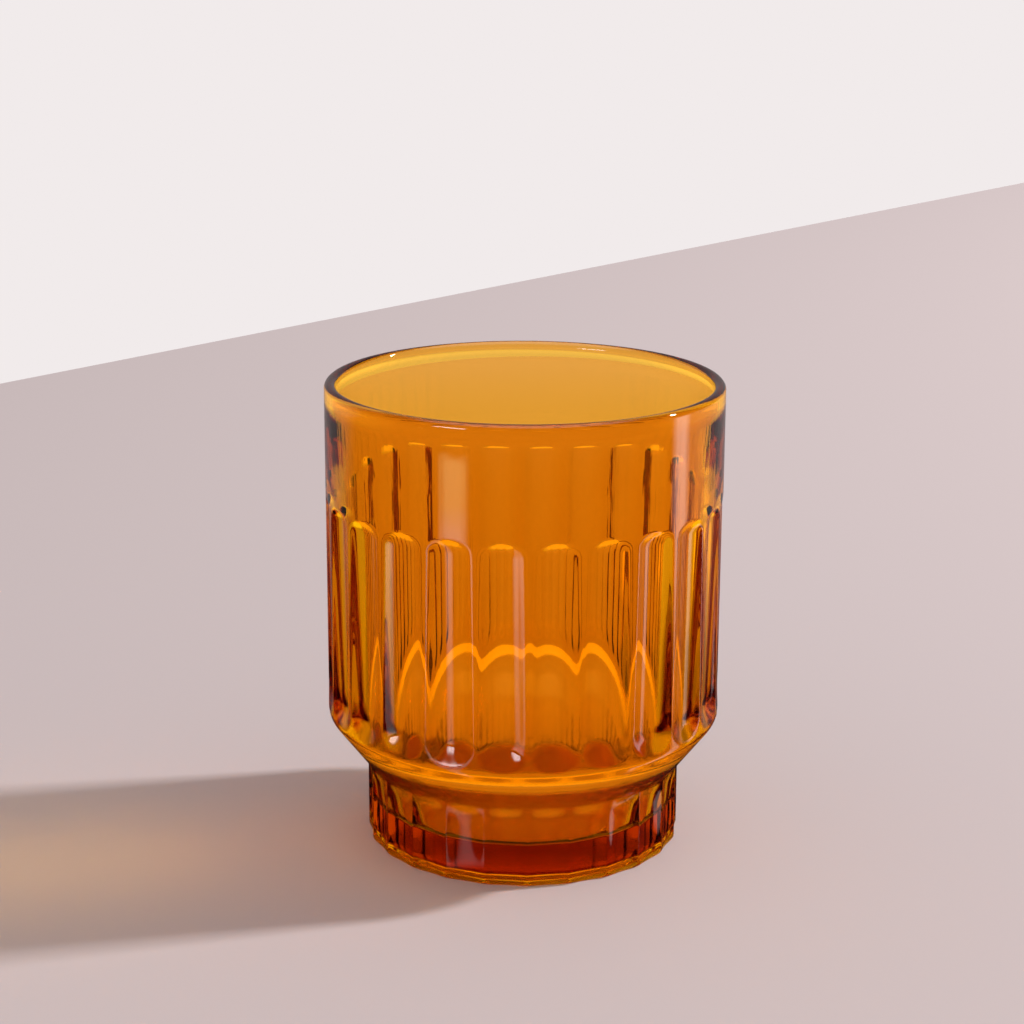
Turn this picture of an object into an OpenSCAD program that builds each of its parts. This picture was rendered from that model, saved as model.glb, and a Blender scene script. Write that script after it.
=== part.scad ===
// Stackable pressed-glass tea tumbler: a plain collar over a fluted cylinder,
// a rounded shoulder, a narrower fluted foot and one open bowl that reaches
// down into the foot. Millimetres, +Z up, origin at the centre of the base.

/* [Body] */
// Outside diameter of the collar and the fluted cylinder
body_d = 76; // [74:0.5:84]
// Height from the table to the top of the lip
glass_h = 90.5; // [86:0.5:110]
// Thickness of the rounded lip, which is a little thicker than the wall below
lip_t = 2.3; // [2.1:0.1:2.8]

/* [Shoulder and foot] */
// Height at which the lines of the body and the shoulder cone would meet
shoulder_h = 25.2; // [24:0.2:26.4]
// Rounding of the shoulder
shoulder_r = 3.5; // [1:0.5:6]
// Diameter over the ridges of the foot
foot_d = 61; // [58:0.5:63]
// Height of the foot below the shoulder cone
foot_h = 15.5; // [14.5:0.5:17]
// Rounding of the heel, where the foot meets the table
heel_r = 1.2; // [0.4:0.2:2]
// Diameter of the shallow recess under the base
recess_d = 52; // [40:1:54]
// Depth of the shallow recess under the base
recess_depth = 1.1; // [0.6:0.1:2]

/* [Flutes] */
// Number of flutes round the body, and round the foot below them
flute_count = 24; // [22:1:26]
// Height of the crown of each flute's arched top
flute_top_h = 69; // [64:0.5:74]
// Height of the lowest point of each flute's rounded bottom
flute_bottom_h = 26.3; // [26:0.2:30]
// Radius of the hollow of a body flute
flute_r = 9; // [8.5:0.5:12]
// Depth of a body flute near its top
flute_depth_top = 1.1; // [0.8:0.05:1.2]
// Depth of a body flute near its bottom
flute_depth_bottom = 1.45; // [1.3:0.05:1.6]
// Rise of the arch at a flute's top
arch_rise = 2.8; // [2:0.1:4]
// Radius of the hollow of a foot flute
foot_flute_r = 12; // [9:0.5:16]
// Depth of a foot flute
foot_flute_depth = 0.9; // [0.5:0.05:1]

/* [Bowl] */
// How far below the top of the lip its bead ends on the inside
bead_below = 1.5; // [1.2:0.1:2]
// How far below the top of the lip the wall is thinnest
neck_below = 3.5; // [3:0.1:4.5]
// Thickness of the wall where it is thinnest
neck_t = 1.85; // [1.6:0.05:2]
// Rounding of the hollow at the thinnest place
neck_r = 10; // [4:1:14]
// How far below the top of the lip the wall starts its even taper
wall_below = 13.8; // [10:0.2:16]
// Thickness of the wall at the start of its even taper
wall_t = 2.8; // [2.5:0.1:3.2]
// Thickness of the wall where it turns in over the shoulder
turn_t = 5.4; // [4.5:0.1:6]
// Height at which the bowl's wall turns in over the shoulder
bowl_turn_h = 21.4; // [21:0.1:23]
// Rounding where the bowl turns in over the shoulder
bowl_turn_r = 7; // [3:0.5:9]
// Thickness of the foot's wall, over its ridges, at the top of the well
well_t = 3.3; // [3:0.1:5]
// Height of the top of the well
well_top_h = 15.3; // [14.5:0.1:17]
// How far the well narrows, on the radius, from its top to its floor
well_draft = 1; // [0.2:0.1:1.5]
// Thickness of the base at its centre, from the table
base_t = 6.7; // [6:0.1:9]
// Rounding of the edge at the top of the well
well_edge_r = 3.5; // [1:0.5:4]
// Rounding between the wall of the well and its floor
floor_r = 2.2; // [1:0.2:4]

/* [Hidden] */
$fn = 96;
cut_overrun = 1;
flute_gap = 0.2;
body_r = body_d / 2;
foot_r = foot_d / 2;
well_r = foot_r - well_t;
mouth_r = body_r - lip_t;
lip_r = lip_t / 2;
lip_h = glass_h - lip_r;
pitch_deg = 360 / flute_count;
half_turn = 180;

function unit(v) = v / norm(v);

// Distance from a corner to the points where a rounding of radius r starts
function setback(a, b, c, r) =
    r * tan((half_turn - acos(unit(a - b) * unit(c - b))) / 2);

function towards(b, a, d) = b + unit(a - b) * d;

// Centre of the rounding of radius r at the corner b between a and c
function rounding_centre(a, b, c, r) =
    let (half = acos(unit(a - b) * unit(c - b)) / 2)
    b + unit(unit(a - b) + unit(c - b)) * r / sin(half);

// The sliver between the corner b and its rounding
module corner_sliver(a, b, c, r) {
    d = setback(a, b, c, r);
    difference() {
        polygon([towards(b, a, d), b, towards(b, c, d)]);
        translate(rounding_centre(a, b, c, r)) circle(r);
    }
}

// Outside of the glass from the shoulder to the lip, as a half section
module body_section() {
    neck = [foot_r, foot_h];
    corner = [body_r, shoulder_h];
    brim = [body_r, lip_h];
    difference() {
        polygon([[0, foot_h], neck, corner, brim, [0, lip_h]]);
        corner_sliver(neck, corner, brim, shoulder_r);
    }
    translate([body_r - lip_r, lip_h]) circle(lip_r);
}

// Outside of the foot, as a half section
module foot_section() {
    heel = [foot_r, 0];
    neck = [foot_r, foot_h];
    difference() {
        polygon([[0, 0], heel, neck, [0, foot_h]]);
        corner_sliver([0, 0], heel, neck, heel_r);
    }
}

// The open bowl with the well in the foot, as a half section
module bowl_section() {
    sky = [mouth_r, glass_h + cut_overrun];
    bead = [mouth_r, glass_h - bead_below];
    neck = [body_r - neck_t, glass_h - neck_below];
    wall = [body_r - wall_t, glass_h - wall_below];
    turn = [body_r - turn_t, bowl_turn_h];
    edge = [well_r, well_top_h];
    rim = [well_r - well_draft, base_t];
    centre = [0, base_t];
    d = setback(rim, edge, turn, well_edge_r);
    difference() {
        polygon([centre, rim, towards(edge, rim, d), towards(edge, turn, d), turn, wall, neck,
                 bead, sky, [0, sky.y]]);
        translate(rounding_centre(rim, edge, turn, well_edge_r)) circle(well_edge_r);
        corner_sliver(centre, rim, edge, floor_r);
        corner_sliver(edge, turn, wall, bowl_turn_r);
        corner_sliver(wall, neck, bead, neck_r);
    }
}

// A rod with a ball at its lower end and a softly rounded upper end: its
// rise and the depth of the cut there set the radius of that rounding
module flute_rod(length) {
    d = flute_depth_top;
    end_r = (arch_rise * arch_rise + d * d) / (2 * d);
    rotate_extrude() {
        square([flute_r, length]);
        square([flute_r - end_r, length + end_r]);
        translate([flute_r - end_r, length]) circle(end_r);
    }
    sphere(flute_r);
}

// One body flute, which grows deeper downwards, kept clear of its neighbours
// where it leaves the glass
module body_flute() {
    width = 2 * body_r * sin(pitch_deg / 2) - flute_gap;
    intersection() {
        leaning_rod();
        translate([body_r - cut_overrun - flute_depth_bottom, -width / 2, 0])
            cube([flute_depth_bottom + 2 * cut_overrun, width, glass_h]);
    }
}

module leaning_rod() {
    d = flute_depth_bottom;
    ball_rise = sqrt(2 * flute_r * d - d * d);
    ball_h = flute_bottom_h + ball_rise;
    length = flute_top_h - arch_rise - ball_h;
    lean = atan((flute_depth_bottom - flute_depth_top) / length);
    translate([body_r + flute_r - d, 0, ball_h]) rotate([0, lean, 0]) flute_rod(length);
}

// One foot flute, which runs the whole height of the foot
module foot_flute() {
    translate([foot_r + foot_flute_r - foot_flute_depth, 0, -cut_overrun])
        cylinder(r = foot_flute_r, h = foot_h + cut_overrun);
}

module each_flute() {
    for (i = [0 : flute_count - 1]) rotate([0, 0, (i + 1 / 2) * pitch_deg]) children();
}

module foot() {
    difference() {
        rotate_extrude() foot_section();
        each_flute() foot_flute();
    }
}

module fluted_body() {
    difference() {
        rotate_extrude() body_section();
        each_flute() body_flute();
    }
}

// The whole tumbler, which is one piece of pressed amber glass
module tumbler() {
    color("darkorange") difference() {
        union() {
            fluted_body();
            foot();
        }
        rotate_extrude() bowl_section();
        translate([0, 0, -cut_overrun]) cylinder(d = recess_d, h = recess_depth + cut_overrun);
    }
}

tumbler();
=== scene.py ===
from math import acos, atan2, cos, hypot, pi, radians, sin, sqrt, tan
import bmesh
import bpy
from mathutils import Matrix, Vector


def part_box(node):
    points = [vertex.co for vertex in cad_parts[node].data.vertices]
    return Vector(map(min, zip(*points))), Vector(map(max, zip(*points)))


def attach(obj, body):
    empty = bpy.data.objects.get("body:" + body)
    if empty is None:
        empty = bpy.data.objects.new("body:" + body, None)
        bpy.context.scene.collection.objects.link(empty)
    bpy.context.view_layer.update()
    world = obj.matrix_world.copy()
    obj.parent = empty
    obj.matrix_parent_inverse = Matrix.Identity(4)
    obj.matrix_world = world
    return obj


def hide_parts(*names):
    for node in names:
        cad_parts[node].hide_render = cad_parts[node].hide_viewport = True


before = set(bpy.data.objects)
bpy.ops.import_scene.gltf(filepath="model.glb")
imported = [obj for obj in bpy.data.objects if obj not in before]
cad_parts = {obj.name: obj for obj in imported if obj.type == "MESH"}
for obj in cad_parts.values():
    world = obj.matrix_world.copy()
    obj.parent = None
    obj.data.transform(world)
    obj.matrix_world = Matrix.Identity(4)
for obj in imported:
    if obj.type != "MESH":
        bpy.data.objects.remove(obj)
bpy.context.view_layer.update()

mm = 0.001
low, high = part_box("tumbler")
bodyRadius = (high.x - low.x) / 2
glassHeight = high.z

# Sizes of the glass in metres: the frame sets its radius and height
glassSizes = {
    "lipThickness": 2.3 * mm,
    "lipRound": 1.14 * mm,
    "beadDepth": 1.5 * mm,       # depths below the rim: where the lip's bead ends,
    "beadRound": 2.2 * mm,
    "neckDepth": 3.5 * mm,       # where the wall is thinnest
    "neckThickness": 1.85 * mm,
    "neckHollow": 10 * mm,
    "wallDepth": 13.8 * mm,      # and where its even taper starts
    "wallThickness": 2.8 * mm,
    "wallRound": 55 * mm,
    "shoulderHeight": 25.2 * mm,
    "shoulderRound": 3.5 * mm,
    "footRadius": 30.5 * mm,
    "footHeight": 15.5 * mm,
    "neckRound": 0.6 * mm,       # where the foot meets the cone of the shoulder
    "heelRound": 1.2 * mm,
    "recessRadius": 26 * mm,
    "recessDepth": 1.1 * mm,
    "recessRound": 0.5 * mm,
    "bowlTurnRadius": 32.6 * mm,
    "bowlTurnHeight": 21.4 * mm,
    "bowlTurnRound": 7 * mm,
    "wellRadius": 27.2 * mm,
    "wellTopHeight": 15.3 * mm,
    "wellEdgeRound": 3.5 * mm,
    "wellDraft": 1 * mm,
    "baseThickness": 6.7 * mm,
    "floorRound": 2.2 * mm,
    "mergeDistance": 0.001 * mm,
}

# The flutes, which are hollows cut by a leaning rod with a round lower end
fluteShape = {
    "count": 24,
    "columnsEach": 18,
    "columnCrowding": 0.6,       # how much closer the columns stand at a ridge
    "topHeight": 69 * mm,
    "bottomHeight": 26.3 * mm,
    "hollowRadius": 9 * mm,
    "depthAtTop": 1.1 * mm,
    "depthAtBottom": 1.45 * mm,
    "archRise": 2.8 * mm,
    "edgeSoftness": 0.35 * mm,
    "endSoftness": 0.9 * mm,     # the same round a flute's lower end,
    "endSoftFrom": 1 * mm,       # how far above the rod's ball it starts to grow,
    "endSoftOver": 3 * mm,       # and over what height
    "closeRowsFrom": 0.3 * mm,   # the close rows over a flute's lower end, above its lowest point
    "closeRowsTo": 7 * mm,
    "closeRowsPast": 1 * mm,     # how far the close rows at its top reach past the arch
    "footHollowRadius": 12 * mm,
    "footDepth": 0.9 * mm,
    "footEdgeSoftness": 0.35 * mm,
    "footFade": 1.2 * mm,        # the height in which a foot flute ends,
    "footFadePast": 0.2 * mm,    # and how far past the foot's top
    "bodyFrom": 3 * mm,          # above the foot, from where only the body's flutes count
}

pitch = 2 * pi / fluteShape["count"]


# Points of an outline in the radius and height plane. A corner is its radius, its height,
# its rounding, the steps of that rounding and the steps of the stretch that follows.
def outlinePoints(corners):
    points = []
    for i, (radius, height, rounding, arcSteps, lineSteps) in enumerate(corners):
        corner = Vector((radius, height))
        start, end = corner, corner
        if rounding:
            before = (Vector(corners[i - 1][:2]) - corner).normalized()
            after = (Vector(corners[i + 1][:2]) - corner).normalized()
            half = acos(before.dot(after)) / 2
            start = corner + before * rounding / tan(half)
            end = corner + after * rounding / tan(half)
            centre = corner + (before + after).normalized() * rounding / sin(half)
        if points:
            last = points[-1]
            points += [last.lerp(start, (k + 1) / stretchSteps) for k in range(stretchSteps)]
        else:
            points.append(start)
        stretchSteps = lineSteps
        if rounding:
            fromAngle = atan2(start.y - centre.y, start.x - centre.x)
            toAngle = atan2(end.y - centre.y, end.x - centre.x)
            turn = (toAngle - fromAngle + pi) % (2 * pi) - pi
            for k in range(1, arcSteps + 1):
                angle = fromAngle + turn * k / arcSteps
                points.append(centre + rounding * Vector((cos(angle), sin(angle))))
    return points


def glassCorners():
    g, f = glassSizes, fluteShape
    mouthRadius = bodyRadius - g["lipThickness"]
    flutesFrom = f["bottomHeight"] + f["closeRowsFrom"]
    lowerFlutes = f["bottomHeight"] + f["closeRowsTo"]
    upperFlutes = f["topHeight"] - f["archRise"] - f["closeRowsPast"]
    aboveFlutes = f["topHeight"] + f["closeRowsPast"]
    outside = [
        (0, g["recessDepth"], 0, 0, 8),
        (g["recessRadius"], g["recessDepth"], g["recessRound"], 4, 1),
        (g["recessRadius"], 0, g["recessRound"], 4, 2),
        (g["footRadius"], 0, g["heelRound"], 8, 7),
        (g["footRadius"], g["footHeight"], g["neckRound"], 5, 8),
        (bodyRadius, g["shoulderHeight"], g["shoulderRound"], 10, 2),
        (bodyRadius, flutesFrom, 0, 0, 25),
        (bodyRadius, lowerFlutes, 0, 0, 12),
        (bodyRadius, upperFlutes, 0, 0, 22),
        (bodyRadius, aboveFlutes, 0, 0, 8),
        (bodyRadius, glassHeight, g["lipRound"], 10, 1),
    ]
    inside = [
        (mouthRadius, glassHeight, g["lipRound"], 10, 1),
        (mouthRadius, glassHeight - g["beadDepth"], g["beadRound"], 4, 1),
        (bodyRadius - g["neckThickness"], glassHeight - g["neckDepth"], g["neckHollow"], 10, 6),
        (bodyRadius - g["wallThickness"], glassHeight - g["wallDepth"], g["wallRound"], 8, 12),
        (g["bowlTurnRadius"], g["bowlTurnHeight"], g["bowlTurnRound"], 10, 3),
        (g["wellRadius"], g["wellTopHeight"], g["wellEdgeRound"], 6, 4),
        (g["wellRadius"] - g["wellDraft"], g["baseThickness"], g["floorRound"], 7, 8),
        (0, g["baseThickness"], 0, 0, 0),
    ]
    return outside, inside


def clamp(value):
    return min(max(value, 0), 1)


# The lower of two radii, blended softly where they are closer than softness
def softLower(a, b, softness):
    near = max(softness - abs(a - b), 0) / softness
    return min(a, b) - near * near * softness / 4


# Radius at which a hollow, its axis at the given distance, meets the direction of turn
def hollowFace(turn, axisDistance, hollowRadius):
    inside = hollowRadius ** 2 - (axisDistance * sin(turn)) ** 2
    if hollowRadius <= 0 or inside <= 0:
        return axisDistance
    return axisDistance * cos(turn) - sqrt(inside)


def bodyFluted(radius, turn, height):
    f = fluteShape
    depthLow, depthHigh, hollow = f["depthAtBottom"], f["depthAtTop"], f["hollowRadius"]
    ballHeight = f["bottomHeight"] + sqrt(2 * hollow * depthLow - depthLow ** 2)
    endHeight = f["topHeight"] - f["archRise"]
    endRound = (f["archRise"] ** 2 + depthHigh ** 2) / (2 * depthHigh)
    share = (height - ballHeight) / (endHeight - ballHeight)
    depth = depthLow + (depthHigh - depthLow) * share
    axisDistance = bodyRadius + hollow - depth
    if height < ballHeight:
        hollow = sqrt(max(hollow ** 2 - (ballHeight - height) ** 2, 0))
    elif height > endHeight:
        hollow += sqrt(max(endRound ** 2 - (height - endHeight) ** 2, 0)) - endRound
    share = clamp((ballHeight + f["endSoftFrom"] - height) / f["endSoftOver"])
    softness = f["edgeSoftness"] + (f["endSoftness"] - f["edgeSoftness"]) * share
    return softLower(radius, hollowFace(turn, axisDistance, hollow), softness)


def footFluted(radius, turn, height):
    g, f = glassSizes, fluteShape
    axisDistance = g["footRadius"] + f["footHollowRadius"] - f["footDepth"]
    face = hollowFace(turn, axisDistance, f["footHollowRadius"])
    cut = radius - softLower(radius, face, f["footEdgeSoftness"])
    fade = clamp((g["footHeight"] + f["footFadePast"] - height) / f["footFade"])
    return radius - cut * fade * fade * (3 - 2 * fade)


def makeTumbler():
    g, f = glassSizes, fluteShape
    outside, inside = glassCorners()
    bm = bmesh.new()
    isOutside = bm.verts.layers.int.new("outside")
    points = outlinePoints(outside + inside)
    lipRow = max(range(len(points)), key=lambda k: points[k].y)
    previous = None
    for k, point in enumerate(points):
        vert = bm.verts.new((point.x, 0, point.y))
        vert[isOutside] = 1 if k <= lipRow else 0
        if previous:
            bm.edges.new((previous, vert))
        previous = vert
    # One flute's share of the glass, then the same share turned round until it closes
    bmesh.ops.spin(bm, geom=bm.verts[:] + bm.edges[:], cent=(0, 0, 0), axis=(0, 0, 1),
                   angle=pitch, steps=f["columnsEach"])
    for v in bm.verts:
        radius = hypot(v.co.x, v.co.y)
        part = atan2(v.co.y, v.co.x) / pitch - 0.5
        part += f["columnCrowding"] * sin(2 * pi * part) / (2 * pi)
        if v[isOutside]:
            fluted = bodyFluted if v.co.z > g["footHeight"] + f["bodyFrom"] else footFluted
            radius = fluted(radius, part * pitch, v.co.z)
        angle = (0.5 + part) * pitch
        v.co.x, v.co.y = radius * cos(angle), radius * sin(angle)
    bmesh.ops.remove_doubles(bm, verts=bm.verts, dist=g["mergeDistance"])
    bmesh.ops.spin(bm, geom=bm.verts[:] + bm.edges[:] + bm.faces[:], cent=(0, 0, 0),
                   axis=(0, 0, 1), angle=2 * pi - pitch, steps=f["count"] - 1, use_duplicate=True)
    bmesh.ops.remove_doubles(bm, verts=bm.verts, dist=g["mergeDistance"])
    bmesh.ops.recalc_face_normals(bm, faces=bm.faces)
    openEdges = sum(1 for e in bm.edges if not e.is_manifold)
    mesh = bpy.data.meshes.new("tumbler_glass")
    bm.to_mesh(mesh)
    bm.free()
    mesh.shade_smooth()
    piece = bpy.data.objects.new("tumbler_glass", mesh)
    bpy.context.scene.collection.objects.link(piece)
    print("tumbler:", len(points), "rows,", len(mesh.polygons), "faces,", openEdges, "open edges")
    return piece


# Joins shader nodes: a socket is linked, anything else is set on the input itself
def feed(tree, socket, value):
    if isinstance(value, bpy.types.NodeSocket):
        tree.links.new(value, socket)
    elif socket.type == "RGBA":
        socket.default_value = (*value, 1)
    else:
        socket.default_value = value


def nodeMath(tree, operation, a, b=0):
    node = tree.nodes.new("ShaderNodeMath")
    node.operation = operation
    feed(tree, node.inputs[0], a)
    feed(tree, node.inputs[1], b)
    return node.outputs[0]


# Goes softly from start to end while the value goes from low to high
def nodeRamp(tree, value, low, high, start=0, end=1):
    ramp = tree.nodes.new("ShaderNodeMapRange")
    ramp.interpolation_type = "SMOOTHSTEP"
    feed(tree, ramp.inputs["Value"], value)
    ramp.inputs["From Min"].default_value = low
    ramp.inputs["From Max"].default_value = high
    ramp.inputs["To Min"].default_value = start
    ramp.inputs["To Max"].default_value = end
    return ramp.outputs[0]


def nodeLength(tree, x, y):
    return nodeMath(tree, "SQRT", nodeMath(tree, "ADD", nodeMath(tree, "MULTIPLY", x, x),
                                           nodeMath(tree, "MULTIPLY", y, y)))


# How far, in radians, the direction of X and Y is turned from the given degrees, which
# count from the viewer's side of the glass toward the right
def nodeTurn(tree, x, y, fromTurn):
    turn = nodeMath(tree, "ARCTAN2", x, nodeMath(tree, "MULTIPLY", y, -1))
    return nodeMath(tree, "ABSOLUTE", nodeMath(tree, "SUBTRACT", turn, radians(fromTurn)))


def nodeAxes(tree, place):
    axes = tree.nodes.new("ShaderNodeSeparateXYZ")
    feed(tree, axes.inputs[0], place)
    return [axes.outputs[axis] for axis in "XYZ"]


def nodeNoise(tree, place, scale):
    noise = tree.nodes.new("ShaderNodeTexNoise")
    feed(tree, noise.inputs["Vector"], place)
    noise.inputs["Scale"].default_value = scale
    return noise.outputs["Fac"]


def nodeBump(tree, height, distance, normal=None):
    bump = tree.nodes.new("ShaderNodeBump")
    bump.inputs["Strength"].default_value = 1
    bump.inputs["Distance"].default_value = distance
    feed(tree, bump.inputs["Height"], height)
    if normal:
        feed(tree, bump.inputs["Normal"], normal)
    return bump.outputs["Normal"]


def nodeMix(tree, kind, share, a, b):
    mix = tree.nodes.new("ShaderNodeMix")
    mix.data_type = kind
    feed(tree, mix.inputs["Factor"], share)
    feed(tree, mix.inputs["A"], a)
    feed(tree, mix.inputs["B"], b)
    return mix.outputs["Result"]


# Where the share is 0 the first shader shows, or nothing if there is none
def nodeMixShader(tree, share, first, second):
    mix = tree.nodes.new("ShaderNodeMixShader")
    feed(tree, mix.inputs["Fac"], share)
    if first:
        tree.links.new(first, mix.inputs[1])
    tree.links.new(second, mix.inputs[2])
    return mix.outputs[0]


# An Emission or a Background shader
def nodeLight(tree, kind, colour, strength):
    light = tree.nodes.new(kind)
    feed(tree, light.inputs["Color"], colour)
    feed(tree, light.inputs["Strength"], strength)
    return light.outputs[0]


glassFinish = {
    "ior": 1.52,
    "wallTint": (1, 0.62, 0.3),          # what one wall lets through, however thick it is
    "absorbColour": (0.9835, 0.953, 0.583),
    "absorbDensity": 1500,
    "roughness": 0.0,
    "shadowTint": (0.4, 0.355, 0.5),     # what each surface lets through to the floor
    "waveScale": 90,
    "waveHeight": 0.035 * mm,
    "streakScale": (900, 900, 14),       # fine upright lines left by the mould
    "streakHeight": 0.012 * mm,
    "grainScale": 5000,                  # the fine grain inside the shoulder and the foot
    "grainHeight": 0.012 * mm,
    "grainRadius": 35 * mm,              # it lies inside this radius, and inside a cone
    "grainConeSlope": 0.8,               # between the inner and the outer side of the shoulder
    "grainConeRadius": 16.5 * mm,
    "grainFade": (34 * mm, 42 * mm),     # the heights between which it ends
}


# Where the grain lies: 1 on the inner side of the shoulder and the foot, 0 elsewhere
def grainPlace(tree, place):
    s = glassFinish
    x, y, height = nodeAxes(tree, place)
    cone = nodeMath(tree, "ADD", nodeMath(tree, "MULTIPLY", height, s["grainConeSlope"]),
                    s["grainConeRadius"])
    within = nodeMath(tree, "LESS_THAN", nodeLength(tree, x, y),
                      nodeMath(tree, "MINIMUM", s["grainRadius"], cone))
    return nodeMath(tree, "MULTIPLY", within, nodeRamp(tree, height, *s["grainFade"], 1, 0))


def amberGlass():
    s = glassFinish
    material = bpy.data.materials.new("amber_glass")
    material.use_nodes = True
    tree = material.node_tree
    nodes, links = tree.nodes, tree.links
    nodes.clear()
    place = nodes.new("ShaderNodeTexCoord").outputs["Object"]
    stretch = nodes.new("ShaderNodeMapping")
    stretch.inputs["Scale"].default_value = s["streakScale"]
    links.new(place, stretch.inputs["Vector"])
    waves = nodeNoise(tree, place, s["waveScale"])
    streaks = nodeNoise(tree, stretch.outputs["Vector"], 1)
    grain = nodeNoise(tree, place, s["grainScale"])
    grain = nodeMath(tree, "MULTIPLY", grain, grainPlace(tree, place))
    normal = nodeBump(tree, waves, s["waveHeight"])
    normal = nodeBump(tree, streaks, s["streakHeight"], normal)
    normal = nodeBump(tree, grain, s["grainHeight"], normal)
    shader = nodes.new("ShaderNodeBsdfPrincipled")
    shader.inputs["Base Color"].default_value = (*s["wallTint"], 1)
    shader.inputs["Transmission Weight"].default_value = 1
    shader.inputs["IOR"].default_value = s["ior"]
    shader.inputs["Roughness"].default_value = s["roughness"]
    links.new(normal, shader.inputs["Normal"])
    absorb = nodes.new("ShaderNodeVolumeAbsorption")
    absorb.inputs["Color"].default_value = (*s["absorbColour"], 1)
    absorb.inputs["Density"].default_value = s["absorbDensity"]
    # Light that falls through the glass lays an amber shadow on the floor
    clear = nodes.new("ShaderNodeBsdfTransparent")
    clear.inputs["Color"].default_value = (*s["shadowTint"], 1)
    path = nodes.new("ShaderNodeLightPath")
    surface = nodeMixShader(tree, path.outputs["Is Shadow Ray"], shader.outputs["BSDF"],
                            clear.outputs["BSDF"])
    output = nodes.new("ShaderNodeOutputMaterial")
    links.new(surface, output.inputs["Surface"])
    links.new(absorb.outputs["Volume"], output.inputs["Volume"])
    return material


# The camera, fitted to the photograph: lengths in metres but for the lens and the sensor,
# which are in millimetres as Blender has them, and angles in degrees
cameraPlace = {
    "lens": 88.08,
    "sensor": 36,
    "clip": (0.01, 20),
    "side": -2.36 * mm,
    "back": 463.8 * mm,
    "up": 191.9 * mm,
    "pitch": 15.36,
    "roll": 0.224,
    "turn": -1.3,
}


def placeCamera():
    c = cameraPlace
    data = bpy.data.cameras.new("camera")
    data.lens = c["lens"]
    data.sensor_width = c["sensor"]
    data.clip_start, data.clip_end = c["clip"]
    camera = bpy.data.objects.new("camera", data)
    bpy.context.scene.collection.objects.link(camera)
    turn = Matrix.Rotation(radians(c["turn"]), 4, "Z")
    look = Matrix.Rotation(radians(90 - c["pitch"]), 4, "X")
    roll = Matrix.Rotation(radians(c["roll"]), 4, "Z")
    place = Matrix.Translation((c["side"], -c["back"], c["up"]))
    camera.matrix_world = turn @ place @ look @ roll
    bpy.context.scene.camera = camera


# The floor. Pairs under "Over" are the places between which a look changes, in metres along
# the view from the middle of the glass.
floorLook = {
    "colour": (0.565, 0.475, 0.475),
    "roughness": 0.6,
    "backLeft": (-0.179, 0.403),         # two points on its far edge,
    "backRight": (0.277, 0.897),
    "pastEdge": 3,                       # how far that edge goes on past them,
    "nearLeft": (-1, -4),                # and the way from its ends to the near corners
    "nearRight": (3, -4),
    "throughColour": (0.565, 0.455, 0.465),
    "paintedLightThroughGlass": (1.27, 1.34),        # painted light: how much brighter it is painted where it shows through the glass, near and far,
    "throughOver": (0.2, 0.42),
    "paintedShadeInFront": 0.75,                # and, as painted shade, the share of that in front of the glass
    "paintedShadeInFrontOver": (-0.08, 0),
    "mirrored": (0.02, 0.46),            # painted shade: the share of the floor that the gloss shows, in front and behind,
    "mirroredOver": (0.03, 0.15),
    "mirroredLean": 0.2,                 # with the places moved this much for each metre right
}


# Painted shade and painted pools of light on the floor, which only show through the glass: where
# their middles are, the radii between which they fade, and what they do to the brightness
paintedLightAndShadePatches = (
    ((0.094, 0.034), (0.015, 0.05), 0.5),
    ((0.14, 0.106), (0.012, 0.04), 1.9),
    ((0.115, -0.096), (0.02, 0.05), 0.4),
    ((0.172, -0.045), (0.015, 0.045), 1.6),
    ((-0.005, 0.07), (0.012, 0.04), 1.12),
)

# Painted sheens of the window and of the lamp on the floor, glowing stripes which only the gloss
# shows: the point they lead away from, their direction in degrees and how far they reach, and
# their half width in degrees, strength and colour, each near the glass and further out
paintedSheens = {
    "window": {
        "from": (-0.0075, -0.0215),
        "turn": -41.3,
        "width": (7.5, 11),
        "reach": 0.355,
        "strength": (0.7, 2.8),
        "colours": ((1, 1, 1), (1, 0.94, 0.4)),
    },
    "lamp": {
        "from": (0.0185, -0.0216),
        "turn": 97,
        "width": (8, 9),
        "reach": 0.7,
        "strength": (1.1, 2.4),
        "colours": ((1, 0.97, 0.97), (1, 0.97, 0.97)),
    },
}

# What the painted sheens have in common: the distances over which each thing changes
paintedSheenShape = {
    "clearOfFoot": (0.0345, 0.039),      # a sheen starts here, from the middle of the glass
    "growOver": (0.03, 0.33),
    "colourOver": (0.24, 0.3),
    "endFade": 0.02,
    "core": 0.3,                         # the share of its half width at which its edge begins
}


# A painted sheen: a soft-edged glowing stripe on the floor that leads away from the glass
def paintedSheenLight(tree, x, y, sheen):
    s = paintedSheenShape
    clear = nodeRamp(tree, nodeLength(tree, x, y), *s["clearOfFoot"])
    x = nodeMath(tree, "SUBTRACT", x, sheen["from"][0])
    y = nodeMath(tree, "SUBTRACT", y, sheen["from"][1])
    away = nodeLength(tree, x, y)
    width = nodeRamp(tree, away, *s["growOver"], *(radians(w) for w in sheen["width"]))
    offset = nodeMath(tree, "DIVIDE", nodeTurn(tree, x, y, sheen["turn"]), width)
    strength = nodeRamp(tree, away, *s["growOver"], *sheen["strength"])
    across = nodeRamp(tree, offset, s["core"], 1, 1, 0)
    ending = nodeRamp(tree, away, sheen["reach"] - s["endFade"], sheen["reach"], 1, 0)
    for share in (across, ending, clear):
        strength = nodeMath(tree, "MULTIPLY", strength, share)
    colour = nodeMix(tree, "RGBA", nodeRamp(tree, away, *s["colourOver"]), *sheen["colours"])
    return nodeLight(tree, "ShaderNodeEmission", colour, strength)
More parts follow.
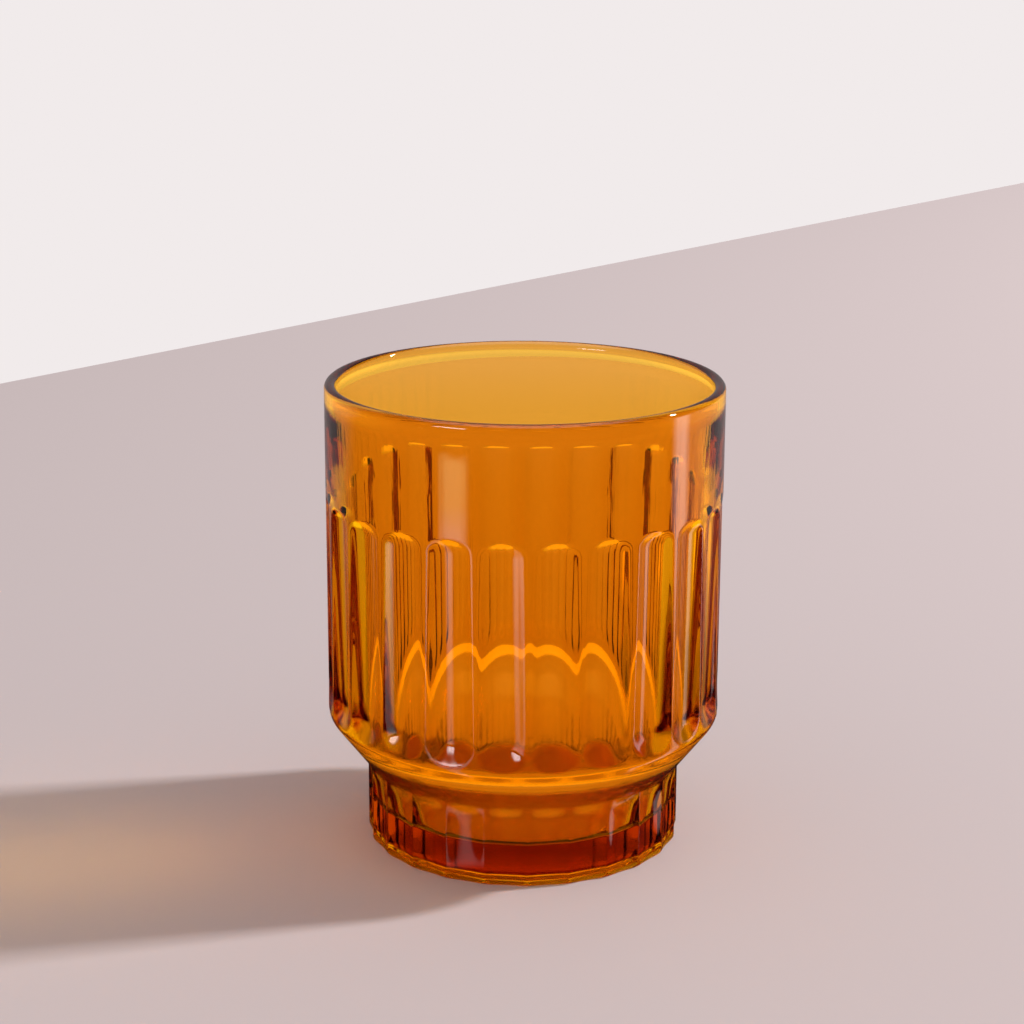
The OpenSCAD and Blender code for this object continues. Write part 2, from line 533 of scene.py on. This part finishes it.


# The floor's colour as it shows through the glass, with painted light and painted shade: brighter
# than the floor itself, darker in front of the glass, and the painted patches
def throughColour(tree, x, y):
    s = floorLook
    bright = nodeMath(tree, "MULTIPLY", nodeRamp(tree, y, *s["throughOver"], *s["paintedLightThroughGlass"]),
                      nodeRamp(tree, y, *s["paintedShadeInFrontOver"], s["paintedShadeInFront"], 1))
    for (patchX, patchY), reach, gain in paintedLightAndShadePatches:
        away = nodeLength(tree, nodeMath(tree, "SUBTRACT", x, patchX),
                          nodeMath(tree, "SUBTRACT", y, patchY))
        bright = nodeMath(tree, "MULTIPLY", bright, nodeRamp(tree, away, *reach, gain, 1))
    colour = tree.nodes.new("ShaderNodeVectorMath")
    colour.operation = "SCALE"
    colour.inputs[0].default_value = s["throughColour"]
    feed(tree, colour.inputs["Scale"], bright)
    return colour.outputs["Vector"]


def floorFinish():
    s = floorLook
    material = bpy.data.materials.new("floor")
    material.use_nodes = True
    tree = material.node_tree
    nodes, links = tree.nodes, tree.links
    path = nodes.new("ShaderNodeLightPath").outputs
    x, y, height = nodeAxes(tree, nodes.new("ShaderNodeTexCoord").outputs["Object"])
    shader = nodes["Principled BSDF"]
    shader.inputs["Roughness"].default_value = s["roughness"]
    shader.inputs["Specular IOR Level"].default_value = 0
    # Through the glass the floor shows in its painted light and painted shade
    colour = nodeMix(tree, "RGBA", path["Is Transmission Ray"], s["colour"],
                     throughColour(tree, x, y))
    links.new(colour, shader.inputs["Base Color"])
    # Painted shade: in the gloss the floor shows darker in front of the glass
    behind = nodeMath(tree, "ADD", y, nodeMath(tree, "MULTIPLY", x, s["mirroredLean"]))
    dim = nodeRamp(tree, behind, *s["mirroredOver"], *s["mirrored"])
    mirrored = nodeMixShader(tree, dim, None, shader.outputs[0])
    # Painted sheens: glowing stripes on the floor, seen only in the gloss
    for sheen in paintedSheens.values():
        added = nodes.new("ShaderNodeAddShader")
        links.new(mirrored, added.inputs[0])
        links.new(paintedSheenLight(tree, x, y, sheen), added.inputs[1])
        mirrored = added.outputs[0]
    isMirrored = nodeMath(tree, "MULTIPLY", path["Is Reflection Ray"], path["Is Glossy Ray"])
    surface = nodeMixShader(tree, isMirrored, shader.outputs[0], mirrored)
    links.new(surface, nodes["Material Output"].inputs["Surface"])
    return material


def makeFloor():
    s = floorLook
    bm = bmesh.new()
    bmesh.ops.create_grid(bm, x_segments=1, y_segments=1, size=1)
    left, right = Vector(s["backLeft"]), Vector(s["backRight"])
    along = (right - left).normalized() * s["pastEdge"]
    left, right = left - along, right + along
    corners = (left + Vector(s["nearLeft"]), right + Vector(s["nearRight"]), left, right)
    for v, corner in zip(bm.verts, corners):
        v.co = (corner.x, corner.y, 0)
    mesh = bpy.data.meshes.new("floor")
    bm.to_mesh(mesh)
    bm.free()
    mesh.materials.append(floorFinish())
    floorPiece = bpy.data.objects.new("floor", mesh)
    bpy.context.scene.collection.objects.link(floorPiece)


# The room round the glass. Heights are the sine of the elevation, and pairs under "Over" are
# the heights, or the parts of the way back, between which a look changes.
roomLook = {
    "wallColour": (0.88, 0.83, 0.83),
    "lightColour": (1, 1, 1),            # what lights the glass and the floor
    "light": 0.55,
    "backColour": (0.87, 0.85, 0.83),    # the wall behind, as it shows through the glass,
    "backLight": 1.75,
    "backLightOver": (-0.14, 0.0),
    "frontLight": 0.15,                  # and the room in front
    "frontOver": (-0.3, 0.3),
    "mirrored": (0.02, 0.35),            # what the gloss shows of the room and of the wall
    "mirroredOver": (0.45, 0.75),
    "mirroredLean": 0.25,
    "ceiling": 1.5,                      # a bright ceiling, which only the gloss shows
    "ceilingOver": (0.8, 0.88),
}

# The window, which only the gloss shows, in degrees: its direction, its half width, and the
# elevations of its sill and head
windowLook = {
    "turn": -44,
    "width": 11,
    "core": 0.5,                         # the share of its half width at which its edge begins
    "span": (-3, 13),
    "sillSoftness": 0.05,
    "headSoftness": 0.1,
    "strength": 12,
}


def windowLight(tree, x, y, z):
    s = windowLook
    width = radians(s["width"])
    sill, head = (sin(radians(e)) for e in s["span"])
    across = nodeRamp(tree, nodeTurn(tree, x, y, s["turn"]), width * s["core"], width, 1, 0)
    above = nodeRamp(tree, z, sill - s["sillSoftness"], sill + s["sillSoftness"])
    below = nodeRamp(tree, z, head - s["headSoftness"], head + s["headSoftness"],
                     s["strength"], 0)
    return nodeMath(tree, "MULTIPLY", across, nodeMath(tree, "MULTIPLY", above, below))


def mirroredLight(tree, x, y, z):
    s = roomLook
    behind = nodeMath(tree, "SUBTRACT", y, nodeMath(tree, "MULTIPLY", x, s["mirroredLean"]))
    walls = nodeRamp(tree, behind, *s["mirroredOver"], *s["mirrored"])
    overhead = nodeRamp(tree, z, *s["ceilingOver"], 0, s["ceiling"])
    bright = nodeMath(tree, "MAXIMUM", overhead, windowLight(tree, x, y, z))
    return nodeMath(tree, "MAXIMUM", walls, bright)


def throughLight(tree, y, z):
    s = roomLook
    raised = nodeRamp(tree, z, *s["backLightOver"], 1, s["backLight"])
    return nodeMix(tree, "FLOAT", nodeRamp(tree, y, *s["frontOver"]), s["frontLight"], raised)


# The room lights everything evenly, and looks different to the camera, in the gloss and
# through the glass
def makeRoom():
    s = roomLook
    world = bpy.data.worlds.new("studio")
    bpy.context.scene.world = world
    world.use_nodes = True
    tree = world.node_tree
    nodes = tree.nodes
    nodes.clear()
    path = nodes.new("ShaderNodeLightPath").outputs
    x, y, z = nodeAxes(tree, nodes.new("ShaderNodeTexCoord").outputs["Generated"])
    looks = (
        ("Is Camera Ray", s["wallColour"], 1),
        ("Is Glossy Ray", s["wallColour"], mirroredLight(tree, x, y, z)),
        ("Is Transmission Ray", s["backColour"], throughLight(tree, y, z)),
    )
    room = nodeLight(tree, "ShaderNodeBackground", s["lightColour"], s["light"])
    for ray, colour, strength in looks:
        look = nodeLight(tree, "ShaderNodeBackground", colour, strength)
        room = nodeMixShader(tree, path[ray], room, look)
    tree.links.new(room, nodes.new("ShaderNodeOutputWorld").inputs["Surface"])


# Lamps: azimuth is degrees from the camera's side toward the right, sizes in metres
lamps = {
    "key": {"azimuth": 102.6, "elevation": 34, "distance": 2.4, "size": 0.18, "power": 56},
}


def makeLamps():
    for name, s in lamps.items():
        data = bpy.data.lights.new(name, "AREA")
        data.shape = "SQUARE"
        data.size = s["size"]
        data.energy = s["power"]
        lamp = bpy.data.objects.new(name, data)
        bpy.context.scene.collection.objects.link(lamp)
        a = radians(s["azimuth"] + cameraPlace["turn"])
        e = radians(s["elevation"])
        toward = Vector((sin(a) * cos(e), -cos(a) * cos(e), sin(e)))
        lamp.location = toward * s["distance"] + Vector((0, 0, glassHeight / 2))
        lamp.rotation_mode = "QUATERNION"
        lamp.rotation_quaternion = toward.to_track_quat("Z", "Y")


# How often light is followed: thick glass needs many passes
lightBounces = {
    "max_bounces": 32,
    "transmission_bounces": 32,
    "glossy_bounces": 16,
    "transparent_max_bounces": 16,
}

scene = bpy.context.scene
scene.view_settings.view_transform = "Standard"
for kind, bounces in lightBounces.items():
    setattr(scene.cycles, kind, bounces)
placeCamera()
print("camera placed")
tumbler = makeTumbler()
tumbler.data.materials.append(amberGlass())
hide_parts("tumbler")
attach(tumbler, "root")
print("tumbler finished in amber glass")
makeFloor()
makeRoom()
makeLamps()
print("stage and lamps made")
